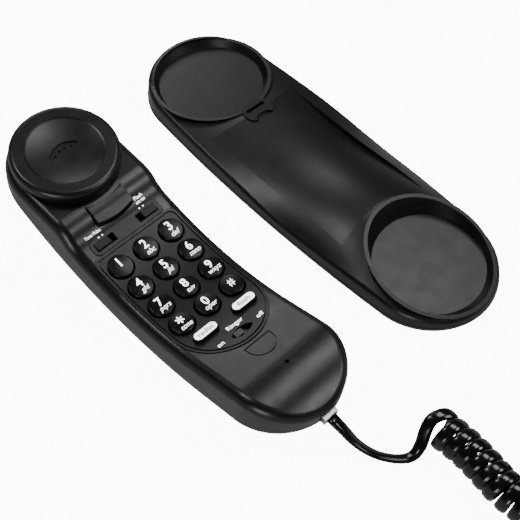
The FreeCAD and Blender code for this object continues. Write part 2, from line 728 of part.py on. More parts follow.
# Four screws hold the shells together: each shell has a tube, and the circuit board lets them by.
screw_places = [("33", "-18.2"), ("33", "18.2"), ("130", "-16"), ("130", "16")]
screw_floor = {"33": "-31", "130": "-22"}
screw_meet = {"33": "-21", "130": "-17.5"}
body_form = doc.getObject("handset_form")
face_tubes = [shared("face_tube", body_form, cylinder("face_tube_blank", x, y, screw_meet[x], "3", "40"))
              for x, y in screw_places]
back_tubes = [shared("back_tube", body_form,
                     cylinder("back_tube_blank", x, y, "-45", "3.4", f"{screw_meet[x]} + 44.9"))
              for x, y in screw_places]
face_pilots = [cylinder("face_pilot", x, y, f"{screw_meet[x]} - 1", "screw_radius + 0.05", "5")
               for x, y in screw_places]
back_bores = [cylinder("back_bore", x, y, "-45", "screw_radius + 0.2", "40") for x, y in screw_places]
back_sinks = [cylinder("back_sink", x, y, "-45", "screw_head + 0.3", f"{screw_floor[x]} + 45")
              for x, y in screw_places]

jack_way = prism("jack_way", [("-plug_width / 2 - 0.5", "jack_z - plug_height / 2 - 0.5"),
                              ("plug_width / 2 + 0.5", "jack_z - plug_height / 2 - 0.5"),
                              ("plug_width / 2 + 0.5", "jack_z + plug_height / 2 + 0.5"),
                              ("-plug_width / 2 - 0.5", "jack_z + plug_height / 2 + 0.5")],
                 UPRIGHT_Y, length="20")
bind(jack_way.Base, Placement__Base__x="mouth_x + half_width - 8")


def crescent(name, grow, start, length):
    """The hook paddle's outline: a band round the ear cap, closed by arcs about the cap's axis."""
    half = f"(paddle_half_width + {grow})"
    inner, outer = f"(paddle_inner - {grow})", f"(paddle_outer + {grow})"
    return prism(name, [
        (f"sqrt({inner}^2 - {half}^2)", f"-{half}"), (f"sqrt({outer}^2 - {half}^2)", f"-{half}", outer),
        (f"sqrt({outer}^2 - {half}^2)", half), (f"sqrt({inner}^2 - {half}^2)", half, f"-{inner}"),
    ], start=start, length=length)


def thumb_outline(inset):
    """A half-round mark below the keypad: straight towards the ear, round towards the mouth."""
    half, start = f"(7.3 - {inset})", f"(thumb_x + {inset})"
    return prism("thumb_plan", [(start, f"-{half}"), (f"{start} + 2", f"-{half}", half),
                                (f"thumb_x + 9.3 - {inset}", "0", half), (f"{start} + 2", half),
                                (start, half)],
                 start="-60", length="90")


def brow_height(x):
    return f"({on_face('face_end')} + brow_slope * ({x} - face_end) - 0.5)"


thumb = without("thumb_groove", thumb_outline("0"), thumb_outline("0.6"), prism("thumb_floor", [
    ("thumb_x - 4", "-60"), ("thumb_x + 14", "-60"), ("thumb_x + 14", brow_height("thumb_x + 14")),
    ("thumb_x - 4", brow_height("thumb_x - 4"))], UPRIGHT_X, length="60", both_ways=True))
bezel_seat = shared("bezel_seat", face_band("bezel_seat_band", "-bezel_sink - 0.1", "12"),
                    bezel_plan("bezel_seat_plan", "-0.2"))
strip_seat = shared("strip_seat", face_band("strip_seat_band", "-bezel_sink - 0.1", "12"),
                    strip_plan("strip_seat_plan", "-0.2"))
face_half = joined("face_shell_solid", shared("face_half", shell, face_side("face_region")), *face_tubes)
keep("handset_face_shell", without(
    "face_shell", face_half, bezel_seat, strip_seat, bezel_plan("bezel_window", "1.8"),
    strip_plan("strip_window", "1.2"), thumb, cylinder("ear_window", "0", "0", "-12", "20.6", "20"),
    crescent("paddle_window", "0.5", "-19", "30"), cylinder("mic_hole", "mic_x", "0", "-8", "0.9", "20"),
    jack_way, *face_pilots), handset_place)
keep("handset_back_shell", without(
    "back_shell", joined("back_shell_solid",
                         without("back_half", shell, face_side("back_region", "parting_gap")), *back_tubes),
    jack_way, *back_bores, *back_sinks), handset_place)

keep("handset_screws", grouped("handset_screw_group", *[
    joined("handset_screw", cylinder("head", x, y, f"{screw_floor[x]} - 1.65", "screw_head", "1.6"),
           cylinder("shank", x, y, f"{screw_floor[x]} - 0.05", "screw_radius",
                    f"{screw_meet[x]} + 3.5 - ({screw_floor[x]})")) for x, y in screw_places]), handset_place)

# The ear cap: a shallow dish, a round rim, and a ring that clips into the shell.
cap = turned("cap_body", [
    ("0", "-4.3"), ("19", "-4.3"), ("19", "-9"), ("20.2", "-9"), ("20.2", "shoulder + 0.1"),
    ("cap_radius - 0.9", "shoulder + 0.1"), ("cap_radius - 0.9", "-4.6"), ("cap_radius", "-4.0"),
    ("cap_radius", "-2.6", "2.6"), ("cap_radius - 2.6", "0"), ("dish_radius", "0"),
    ("dish_radius - 0.8", "-0.35", f"-{dome_radius('(dish_radius - 0.8)', '(dish_depth - 0.35)')}"),
    ("0", "-dish_depth"),
])
sound = sketch_on(cap, "XY_Plane", "0")
draw(sound, [("-2.6", "-6.3", "1.6"), ("0.5", "-6.8", "-12.2"), ("0.5", "6.8", "1.6"), ("-2.6", "6.3", "9")])
pocket(cap, sound, "dish_depth + 0.55")
holes = sketch_on(cap, "XY_Plane", "0")
for x, y in (("-0.9", "-4.7"), ("-2.0", "-1.6"), ("-2.0", "1.6"), ("-0.9", "4.7")):
    draw_circle(holes, x, y, "0.65")
pocket(cap, holes, "6")
keep("ear_cap", cap, handset_place)

keep("ear_speaker", turned("speaker_body", [
    ("0", "-11.5"), ("9", "-11.5"), ("9", "-10"), ("speaker_radius", "-10"), ("speaker_radius", "-5.3"),
    ("16", "-5.3"), ("0", "-6.3"),
]), handset_place)
keep("speaker_felt", turned("felt_body", [
    ("13", "-5.25"), ("speaker_radius", "-5.25"), ("speaker_radius", "-4.35"), ("13", "-4.35"),
]), handset_place)

# The bezel plates follow the hollow face.
KEY_HOLE = "6.3"
round_hole = [(KEY_HOLE, "0", KEY_HOLE), ("0", KEY_HOLE, KEY_HOLE), (f"-{KEY_HOLE}", "0", KEY_HOLE),
              ("0", f"-{KEY_HOLE}", KEY_HOLE)]
key_holes = [cut_at("key_hole", key_place(row, column), round_hole, "-4", "8") for _, row, column in KEYS]
PILLS = [("redial_key", -1), ("flash_key", 1)]


def pill(grow):
    half_long, half_wide = f"(pill_length / 2 + {grow})", f"(pill_width / 2 + {grow})"
    straight = f"({half_long} - {half_wide})"
    return [
        (f"-{half_wide}", straight), (f"-{half_wide}", f"-{straight}", half_wide),
        ("0", f"-{half_long}", half_wide), (half_wide, f"-{straight}"), (half_wide, straight, half_wide),
        ("0", half_long, half_wide),
    ]


pill_holes = [cut_at("pill_hole", place_on_face("pill_x", f"{side} * pill_y"), pill("0.3"), "-4", "8")
              for _, side in PILLS]
SLIDERS = [("tone_pulse", -1), ("flash_time", 1)]
slots = [box("slot", "slider_x", f"{side} * slider_y", "-25", "slot_width", "slot_length", "20")
         for _, side in SLIDERS]
RINGER_HALF, RINGER_CURVE = "6.2", "9.2"
ringer_slot = prism("ringer_slot", [("ringer_x", f"-{RINGER_HALF}", RINGER_CURVE),
                                    ("ringer_x", RINGER_HALF, RINGER_CURVE)], start="-25", length="30")
groove = without("bezel_groove_ring", bezel_plan("groove_outer", "1.0"), bezel_plan("groove_inner", "1.7"))
groove = shared("bezel_groove", groove, face_band("groove_band", "-0.35", "3"))
bezel_blank = shared("bezel_blank", face_band("bezel_band", "-bezel_sink", "bezel_rise"),
                     bezel_plan("bezel_edge", "0"))
keep("keypad_bezel", without("bezel", bezel_blank, groove, ringer_slot, *key_holes, *pill_holes), handset_place)
strip_blank = shared("strip_blank", face_band("strip_band", "-bezel_sink", "bezel_rise"),
                     strip_plan("strip_edge", "0"))
keep("switch_strip", without("strip", strip_blank, *slots), handset_place)

# Keys: a flange under the bezel, a slightly tapered cap, and a hollow that sits over its rubber dome.
for label, row, column in KEYS:
    key = turned(label + "_body", [
        ("0", "-0.9"), ("2.7", "-0.9"), ("2.7", "-2.05"), ("6.5", "-2.05"), ("6.5", "-1.3"), ("5.95", "-1.3"),
        ("key_radius + 0.1", "key_height - 0.7", "0.7"),
        ("key_radius - 0.5", "key_height - 0.1", dome_radius("(key_radius - 0.5)", "0.3")),
        ("0", "key_height + 0.2"),
    ])
    keep(label, key, handset_place * key_place(row, column))
for label, side in PILLS:
    key = new_body(label + "_body")
    base_sketch = sketch_on(key, "XY_Plane", "-2.05")
    draw(base_sketch, pill("0.8"))
    pad(key, base_sketch, "0.75")
    stem = sketch_on(key, "XY_Plane", "-1.3")
    draw(stem, pill("0"))
    pad(key, stem, "key_height + 1.3")
    dome_room = sketch_on(key, "XY_Plane", "-0.9")
    draw_circle(dome_room, "0", "0", "2.3")
    pocket(key, dome_room, "1.2")
    recess = sketch_on(key, "XY_Plane", "key_height")
    draw(recess, pill("-0.55"))
    pocket(key, recess, "0.6")
    pill_place = handset_place * place_on_face("pill_x", f"{side} * pill_y")
    keep(label, key, pill_place)
    # A white insert in its top carries the word.
    insert = padded(label + "_insert_body", pill("-0.57"), "key_height - 0.59", "0.75")
    keep(label + "_insert", insert, pill_place)


def board_line(x):
    """Height of the circuit board's upper side at x."""
    return f"(board_top + board_slope * (({x}) - board_touch))"


# The rubber sheet fills the space between the hollow face and the flat board; a dome stands under each key.
sheet_top = "-3.4"
sheet = shared("sheet_blank", prism("sheet_side", [
    ("48.5", f"{board_line('48.5')} + 0.05"), ("122", f"{board_line('122')} + 0.05"),
    ("122", on_face("122", sheet_top), f"-(face_radius - ({sheet_top}))"),
    ("48.5", on_face("48.5", sheet_top))],
    UPRIGHT_X, length="80", both_ways=True),
    prism("sheet_plan", rounded("49", "114", "-22.5", "22.5", "2"), start="-40", length="60"))
domes = []
for place in [key_place(row, column) for _, row, column in KEYS] \
        + [place_on_face("pill_x", f"{side} * pill_y") for _, side in PILLS]:
    dome = doc.addObject("Part::Cone", "dome")
    bind(dome, Radius1="2.1", Radius2="1.6", Height="1.4")
    dome.Placement = place * moved("0", "0", "-3.6")
    domes.append(dome)
keep("keypad_rubber_sheet", joined("rubber_sheet", sheet, *domes), handset_place)

board = shared("board_blank", prism("board_side", [
    ("board_start", f"{board_line('board_start')} - board_thick"),
    ("board_end", f"{board_line('board_end')} - board_thick"),
    ("board_end", board_line("board_end")), ("board_start", board_line("board_start"))], UPRIGHT_X,
    length="80", both_ways=True),
    prism("board_plan", rounded("board_start", "board_end", "-22", "22", "3"), start="-60", length="60"))
keep("main_circuit_board", without("board", board, *[
    cylinder("board_gap", x, y, "-40", "4.6", "40") for x, y in screw_places]), handset_place)

# Slide switches: a knob in the strip's slot, its stem in a housing that stands on the board.
for label, side in SLIDERS:
    start_y = f"{side} * (slider_y + 1.5)"
    knob = new_body(label + "_knob_body")
    top = sketch_on(knob, "XY_Plane", f"{on_face('slider_x')} - 1.4")
    draw(top, rounded("slider_x - 1.75", "slider_x + 1.75", f"{start_y} - 3.8", f"{start_y} + 3.8", "0.4"))
    pad(knob, top, "2.6")
    stem = sketch_on(knob, "XY_Plane", f"{on_face('slider_x')} - 4.6")
    draw(stem, rounded("slider_x - 1.2", "slider_x + 1.2", f"{start_y} - 1.2", f"{start_y} + 1.2", "0.3"))
    pad(knob, stem, "3.2")
    keep(label + "_knob", knob, handset_place)
    housing = without(label + "_housing",
                      box("housing", "slider_x", f"{side} * slider_y", f"{board_line('slider_x + 4')} + 0.05",
                          "7.4", "15", f"{on_face('slider_x')} - 3.6 - ({board_line('slider_x + 4')})"),
                      box("track", "slider_x", f"{side} * slider_y", f"{on_face('slider_x')} - 5",
                          "3", "6", "4"))
    keep(label + "_switch", housing, handset_place)
ringer_knob = new_body("ringer_knob_body")
top = sketch_on(ringer_knob, "XY_Plane", f"{on_face('ringer_x')} - 2.2")
draw(top, rounded("ringer_x - 1.3", "ringer_x + 1.3", "-4.2", "0.2", "0.4"))
pad(ringer_knob, top, "3")
keep("ringer_knob", ringer_knob, handset_place)
keep("ringer_switch", grouped("ringer_housing", box(
    "ringer_box", "ringer_x", "0", f"{board_line('ringer_x + 3')} + 0.05", "5.4", "13",
    f"{on_face('ringer_x')} - 3.4 - ({board_line('ringer_x + 3')})")), handset_place)

# Hook paddle: pressed by the base's clip when the handset hangs; its stem works the hook switch.
paddle_top = prism("paddle_top_view", [("26", "-25"), ("38", "-25"), ("38", "-11.4"), ("32", "-8.1", "12"),
                                       ("26", "-7.0")], UPRIGHT_X, length="60", both_ways=True)
paddle = joined("paddle_solid", shared("paddle_cap", crescent("paddle_plan", "0", "-17.4", "20"), paddle_top),
                crescent("paddle_flange", "1.2", "-18.4", "1.2"),
                cylinder("paddle_stem", "32", "0", "-21", "1.6", "3"))
keep("hook_paddle", paddle, handset_place)
hook_foot = f"{board_line('39')} + 0.05"
hook_box = box("hook_box", "33.2", "0", hook_foot, "10.5", "12", f"-21.35 - ({board_line('39')})")
hook_bore = cylinder("hook_bore", "32", "0", f"{hook_foot} + 0.55", "1.9", "12")
keep("hook_switch", without("hook_housing", hook_box, hook_bore), handset_place)

# Microphone in its rubber boot, the ringer disc on the board's back, and a steel bar for heft.
boot = turned("boot_body", [("0", "-7.4"), ("5.6", "-7.4"), ("5.6", "0"), ("4.9", "0"), ("4.9", "-6.6"),
                            ("0", "-6.6")])
mic_place = moved("mic_x", "0", f"{brow} - 4.6")
keep("microphone_boot", boot, handset_place * mic_place)
keep("microphone", turned("mic_body", [("0", "-6.55"), ("4.85", "-6.55"), ("4.85", "-2"), ("0", "-2")]),
     handset_place * mic_place)
keep("ringer_disc", turned("disc_body", [("0", "-1.2"), ("10.5", "-1.2"), ("10.5", "0.6"), ("7", "0.6"),
                                         ("7", "1.2"), ("0", "1.2")]),
     handset_place * moved("106", "0", "-25.6"))
keep("handset_weight", grouped("weight", box("weight_bar", "66", "0", "-33.8", "38", "26", "5.2")),
     handset_place)


def jack_block(name):
    solid = prism(name + "_block", [("-6", "-11"), ("6", "-11"), ("6", "-2"), ("-6", "-2")], UPRIGHT_Y,
                  length="11")
    bind(solid.Base, Placement__Base__x="mouth_x + half_width - 16.4")
    hole = prism(name + "_mouth", [
        ("-plug_width / 2 - 0.25", "jack_z - plug_height / 2 - 0.25"),
        ("plug_width / 2 + 0.25", "jack_z - plug_height / 2 - 0.25"),
        ("plug_width / 2 + 0.25", "jack_z + plug_height / 2 + 0.25"),
        ("-plug_width / 2 - 0.25", "jack_z + plug_height / 2 + 0.25")], UPRIGHT_Y, length="15")
    bind(hole.Base, Placement__Base__x="mouth_x + half_width - 15.2")
    return without(name, solid, hole)


keep("line_jack", jack_block("jack"), handset_place)


def plug_solid(name, width, length, place):
    """A clear modular plug: a block with a spring latch on its top.  X points into the cord."""
    block = box(name + "_block", f"-({length}) / 2", "0", "-plug_height / 2", length, width,
                "plug_height - 1.3")
    latch = box(name + "_latch", f"-({length}) + 5", "0", "plug_height / 2 - 1.4", "9", "3.2", "1")
    solid = joined(name, block, latch)
    doc.recompute()
    return keep(name, solid, place)


plug_place = handset_place * moved("mouth_x + half_width + 2.2", "0", "jack_z")
plug_solid("handset_plug", "plug_width", "plug_length", plug_place)

# ======== cord ========

def rounded_route(points):
    """Straight runs between the points, joined by tangent arcs as large as their runs allow."""
    spots = [FreeCAD.Vector(*point) for point in points]
    edges, start, radii = [], spots[0], []
    for before, corner, after in zip(spots, spots[1:], spots[2:]):
        back, ahead = before - corner, after - corner
        short = min(back.Length, ahead.Length)
        back.normalize()
        ahead.normalize()
        turn = math.pi - back.getAngle(ahead)
        reach = 0.45 * short
        radius = reach / math.tan(turn / 2)
        radii.append(round(radius, 1))
        inward = (back + ahead).normalize()
        entry, leave = corner + back * reach, corner + ahead * reach
        centre = corner + inward * (radius / math.cos(turn / 2))
        edges += [Part.LineSegment(start, entry).toShape(),
                  Part.Arc(entry, centre - inward * radius, leave).toShape()]
        start = leave
    edges.append(Part.LineSegment(start, spots[-1]).toShape())
    return Part.Wire(edges), radii


def tube(label, points, diameter):
    """A round tube along a route, checked against its section times its length."""
    path, radii = rounded_route(points)
    first = FreeCAD.Vector(*points[0])
    along = (FreeCAD.Vector(*points[1]) - first).normalize()
    ring = Part.Wire([Part.Circle(first, along, diameter / 2).toShape()])
    shape = path.makePipeShell([ring], True, False)
    if not shape.Solids:
        shape = Part.Solid(shape)
    expected = math.pi * diameter ** 2 / 4 * path.Length
    share = shape.Volume / expected
    print(f"{label}: length {path.Length:.1f}, radii {radii}, volume {share:.4f} of its length's")
    thing = doc.addObject("Part::Feature", label)
    thing.Shape = shape
    keep(label, thing)


# The loose end of the flat cord: out of the handset's plug, down to the table, and round into the first turn.
plug_end = plug_place.multVec(FreeCAD.Vector(0, 0, -0.65))
TAIL_ROUTE = [
    (plug_end.x, plug_end.y, plug_end.z), (-46.3, -114.5, 13.4), (-44.5, -121.0, 7.4), (-40.8, -128.6, 3.4),
    (-35.5, -135.8, 2.7), (-29.9, -140.0, 3.4), (-23.9, -139.2, 6.2), (-18.3, -136.8, 10.2),
]
# The middle line of the curly part: away from the phone, then once round in a ring.
RING_X, RING_Y, RING_RADIUS = 25.3, -211.7, 34.0
CURL_HEIGHT = 7.6
CURL_ROUTE = [(-13.9, -133.6, CURL_HEIGHT), (-11.9, -157.0, CURL_HEIGHT), (-9.7, -180.7, CURL_HEIGHT)]
RING_CORNER = RING_RADIUS / math.cos(math.radians(22.5))
for corner in range(6):
    angle = math.radians(202.5 + 45 * corner)
    CURL_ROUTE.append((RING_X + RING_CORNER * math.cos(angle), RING_Y + RING_CORNER * math.sin(angle),
                       CURL_HEIGHT))
CURL_ROUTE.append((RING_X - 2.0, RING_Y + RING_RADIUS, CURL_HEIGHT))
# The plain end comes back inside the ring, where its plug lies.
LEAD_ROUTE = [
    (RING_X - 2.8, RING_Y + RING_RADIUS, CURL_HEIGHT), (RING_X - 13.0, RING_Y + 32.0, 5.2),
    (RING_X - 21.0, RING_Y + 23.5, 2.9), (RING_X - 21.5, RING_Y + 10.5, 3.0),
    (RING_X - 12.0, RING_Y + 0.5, 3.0),
]
tube("cord_tail", TAIL_ROUTE, size("cord_diameter"))
tube("curly_cord", CURL_ROUTE, size("curl_diameter"))
tube("cord_lead", LEAD_ROUTE, size("cord_diameter"))
lead_end, lead_before = FreeCAD.Vector(*LEAD_ROUTE[-1]), FreeCAD.Vector(*LEAD_ROUTE[-2])
plug_turn = FreeCAD.Rotation(FreeCAD.Vector(-1, 0, 0), FreeCAD.Vector(lead_end.x - lead_before.x,
                                                                      lead_end.y - lead_before.y, 0))
plug_solid("line_plug", "wall_plug_width", "13", FreeCAD.Placement(lead_end, plug_turn))

# ======== check and write ========

doc.recompute()
for thing in doc.Objects:
    if {"Invalid", "Error"} & set(thing.State):
        raise RuntimeError(f"{thing.Label} failed: {thing.State}")
for label, piece in pieces.items():
    if piece.Shape.isNull() or not piece.Shape.isValid() or not piece.Shape.Solids:
        raise RuntimeError(f"{label} has no valid solid")
os.makedirs("parts", exist_ok=True)
for label, piece in pieces.items():
    piece.Shape.exportStep(f"parts/{label}.step")
print(len(pieces), "pieces written")
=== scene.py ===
import math

import bmesh
import bpy
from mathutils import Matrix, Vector
from mathutils.bvhtree import BVHTree
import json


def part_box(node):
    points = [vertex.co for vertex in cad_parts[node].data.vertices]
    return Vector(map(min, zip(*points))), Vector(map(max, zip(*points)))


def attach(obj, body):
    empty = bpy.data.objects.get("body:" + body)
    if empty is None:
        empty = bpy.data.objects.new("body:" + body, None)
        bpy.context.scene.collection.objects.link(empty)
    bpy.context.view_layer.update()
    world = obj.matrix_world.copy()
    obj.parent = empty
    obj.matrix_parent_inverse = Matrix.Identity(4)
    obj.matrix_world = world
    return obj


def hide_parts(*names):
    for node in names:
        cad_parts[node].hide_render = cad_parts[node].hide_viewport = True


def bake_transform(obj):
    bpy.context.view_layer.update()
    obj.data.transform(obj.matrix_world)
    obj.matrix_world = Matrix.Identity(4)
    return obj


# The looks of a slim corded phone, built round its CAD frame.
# Metres, +Z up, in the frame of the CAD part.

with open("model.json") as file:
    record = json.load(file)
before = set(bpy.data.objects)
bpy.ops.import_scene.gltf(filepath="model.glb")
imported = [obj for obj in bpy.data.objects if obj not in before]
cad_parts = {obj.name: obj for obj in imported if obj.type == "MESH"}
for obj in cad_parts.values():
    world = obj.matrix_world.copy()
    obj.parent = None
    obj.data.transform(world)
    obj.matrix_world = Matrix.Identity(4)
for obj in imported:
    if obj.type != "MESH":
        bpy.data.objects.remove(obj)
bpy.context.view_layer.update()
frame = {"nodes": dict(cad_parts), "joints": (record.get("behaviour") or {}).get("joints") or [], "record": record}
nodes = frame["nodes"]
joints = {joint["name"]: joint for joint in frame["joints"]}
MM = 0.001
UP = Vector((0, 0, 1))


def joint_axis(name):
    return Vector(joints[name]["axis"]).normalized()


# The directions across the handset, which its legends read along, and out of its face.
HANDSET_ACROSS = joint_axis("tone_pulse_knob_slide")
HANDSET_OUT = -joint_axis("hook_paddle_press")

# ---------------------------------------------------------------- camera, floor and lights


def middle(low, high):
    return (low + high) / 2


def add_camera():
    """A long lens looking down on the phone from its front left."""
    azimuth, elevation = math.radians(-41.9), math.radians(53.25)
    distance, target = 0.6072, Vector((-0.00694, -0.01922, 0))
    level = math.cos(elevation)
    ahead = Vector((-math.sin(azimuth) * level, math.cos(azimuth) * level, -math.sin(elevation)))
    data = bpy.data.cameras.new("camera")
    data.lens = 90
    data.sensor_width = 36
    data.clip_start = 0.01
    data.clip_end = 20
    camera = bpy.data.objects.new("camera", data)
    camera.location = target - ahead * distance
    camera.rotation_euler = (math.pi / 2 - elevation, 0, azimuth)
    bpy.context.scene.collection.objects.link(camera)
    bpy.context.scene.camera = camera


def add_floor():
    """A plain white table, larger than any view."""
    half = 4.0
    corners = [(-half, -half, 0), (half, -half, 0), (half, half, 0), (-half, half, 0)]
    mesh = bpy.data.meshes.new("floor")
    mesh.from_pydata(corners, [], [(0, 1, 2, 3)])
    floor = bpy.data.objects.new("floor", mesh)
    bpy.context.scene.collection.objects.link(floor)
    material = bpy.data.materials.new("floor_white")
    material.use_nodes = True
    shader = material.node_tree.nodes["Principled BSDF"]
    shader.inputs["Base Color"].default_value = (0.9, 0.9, 0.9, 1)
    shader.inputs["Roughness"].default_value = 0.9
    shader.inputs["Specular IOR Level"].default_value = 0.1
    shader.inputs["Emission Color"].default_value = (1, 1, 1, 1)
    shader.inputs["Emission Strength"].default_value = 11.0
    mesh.materials.append(material)
    floor.visible_glossy = False
    floor.visible_diffuse = False
    floor.visible_shadow = False


def add_light(name, place, size, power):
    """A square softbox at a place, turned to face the phone."""
    data = bpy.data.lights.new(name, "AREA")
    data.shape = "SQUARE"
    data.size = size
    data.energy = power
    light = bpy.data.objects.new(name, data)
    light.location = place
    light.rotation_mode = "QUATERNION"
    light.rotation_quaternion = (-Vector(place)).to_track_quat("-Z", "Y")
    bpy.context.scene.collection.objects.link(light)


def add_lights():
    """Softboxes overhead, behind and at both front corners."""
    add_light("softbox_top", (0.47, 0.05, 1.07), 0.4, 3.8)
    add_light("softbox_back", (0.40, 0.85, 0.58), 0.4, 2.0)
    add_light("softbox_rear_left", (-0.32, 0.5, 1.0), 0.3, 3.2)
    add_light("softbox_left", (-1.1, -0.55, 0.35), 0.5, 6)
    add_light("softbox_right", (0.62, -0.85, 1.0), 0.4, 5.5)


def add_surround():
    """A dim room over a pale table: the world is lighter below the horizon."""
    pale, dim = (0.5, 0.5, 0.5, 1), (0.05, 0.05, 0.052, 1)
    horizon, dim_from = 0.5, 0.62
    world = bpy.data.worlds.new("surround")
    world.use_nodes = True
    tree = world.node_tree
    place = tree.nodes.new("ShaderNodeTexCoord")
    split = tree.nodes.new("ShaderNodeSeparateXYZ")
    tree.links.new(place.outputs["Generated"], split.inputs["Vector"])
    halve = tree.nodes.new("ShaderNodeMath")
    halve.operation = "MULTIPLY_ADD"
    halve.inputs[1].default_value = 0.5
    halve.inputs[2].default_value = 0.5
    tree.links.new(split.outputs["Z"], halve.inputs[0])
    ramp = tree.nodes.new("ShaderNodeValToRGB")
    below, above = ramp.color_ramp.elements
    below.position, below.color = horizon, pale
    above.position, above.color = dim_from, dim
    tree.links.new(halve.outputs["Value"], ramp.inputs["Fac"])
    tree.links.new(ramp.outputs["Color"], tree.nodes["Background"].inputs["Color"])
    bpy.context.scene.world = world


# ---------------------------------------------------------------- materials


def grey(value):
    return (value, value, value)


class Recipe:
    """A procedural material: noise in the object's own space drives colour, roughness and bump."""

    def __init__(self, name):
        self.material = bpy.data.materials.new(name)
        self.material.use_nodes = True
        self.tree = self.material.node_tree
        self.shader = self.tree.nodes["Principled BSDF"]
        self.space = self.tree.nodes.new("ShaderNodeTexCoord").outputs["Object"]

    def set(self, **values):
        """Constants on the shader's own sockets, named with underscores for spaces."""
        for name, value in values.items():
            self.shader.inputs[name.replace("_", " ")].default_value = value

    def noise(self, scale, detail, stretch=(1, 1, 1)):
        """A noise field, scale in cells per metre."""
        mapping = self.tree.nodes.new("ShaderNodeMapping")
        mapping.inputs["Scale"].default_value = stretch
        field = self.tree.nodes.new("ShaderNodeTexNoise")
        field.inputs["Scale"].default_value = scale
        field.inputs["Detail"].default_value = detail
        field.inputs["Roughness"].default_value = 0.55
        self.tree.links.new(self.space, mapping.inputs["Vector"])
        self.tree.links.new(mapping.outputs["Vector"], field.inputs["Vector"])
        return field.outputs["Fac"]

    def ramp(self, field, stops):
        """Colours along a field, as two (place, value) stops."""
        ramp = self.tree.nodes.new("ShaderNodeValToRGB")
        for element, (place, value) in zip(ramp.color_ramp.elements, stops):
            element.position = place
            element.color = (*value, 1)
        self.tree.links.new(field, ramp.inputs["Fac"])
        return ramp.outputs["Color"]

    def colour(self, field, dark, light):
        colours = self.ramp(field, [(0.32, dark), (0.68, light)])
        self.tree.links.new(colours, self.shader.inputs["Base Color"])

    def rough(self, field, low, high):
        greys = self.ramp(field, [(0.3, grey(low)), (0.7, grey(high))])
        self.tree.links.new(greys, self.shader.inputs["Roughness"])

    def bump(self, field, depth, under=None):
        """Relief of a depth in metres, on top of another bump's normal if one is given."""
        bump = self.tree.nodes.new("ShaderNodeBump")
        bump.inputs["Strength"].default_value = 1.0
        bump.inputs["Distance"].default_value = depth
        self.tree.links.new(field, bump.inputs["Height"])
        if under is not None:
            self.tree.links.new(under, bump.inputs["Normal"])
        self.tree.links.new(bump.outputs["Normal"], self.shader.inputs["Normal"])
        return bump.outputs["Normal"]


def moulded(name, dark, light, low, high, grain, depth, level=0.5, coat=0.0, painted_glow=0.0):
    """Moulded plastic: faint flow marks in its colour, patchy sheen, and a sparked mould's fine grain.

    The colour runs from dark to light and the roughness from low to high.  The grain's depth is in
    millimetres.
    """
    depth *= MM
    recipe = Recipe(name)
    recipe.set(Specular_IOR_Level=level, Coat_Weight=coat, Coat_Roughness=0.12)
    # painted_glow is a white emission: painted light that makes a piece look lit where no lamp lights it
    recipe.set(Emission_Color=(1, 1, 1, 1), Emission_Strength=painted_glow)
    recipe.colour(recipe.noise(42, 3, stretch=(1, 0.45, 1)), dark, light)
    recipe.rough(recipe.noise(130, 5), low, high)
    fine = recipe.bump(recipe.noise(grain, 2), depth)
    recipe.bump(recipe.noise(grain / 7, 3), depth * 1.6, under=fine)
    return recipe.material


def metal(name, dark, light, low, high):
    """Plated steel or brass with brushed streaks."""
    recipe = Recipe(name)
    recipe.set(Metallic=1.0)
    recipe.colour(recipe.noise(160, 4, stretch=(1, 9, 9)), dark, light)
    recipe.rough(recipe.noise(420, 5, stretch=(1, 12, 12)), low, high)
    recipe.bump(recipe.noise(2400, 2, stretch=(1, 14, 14)), 0.01 * MM)
    return recipe.material


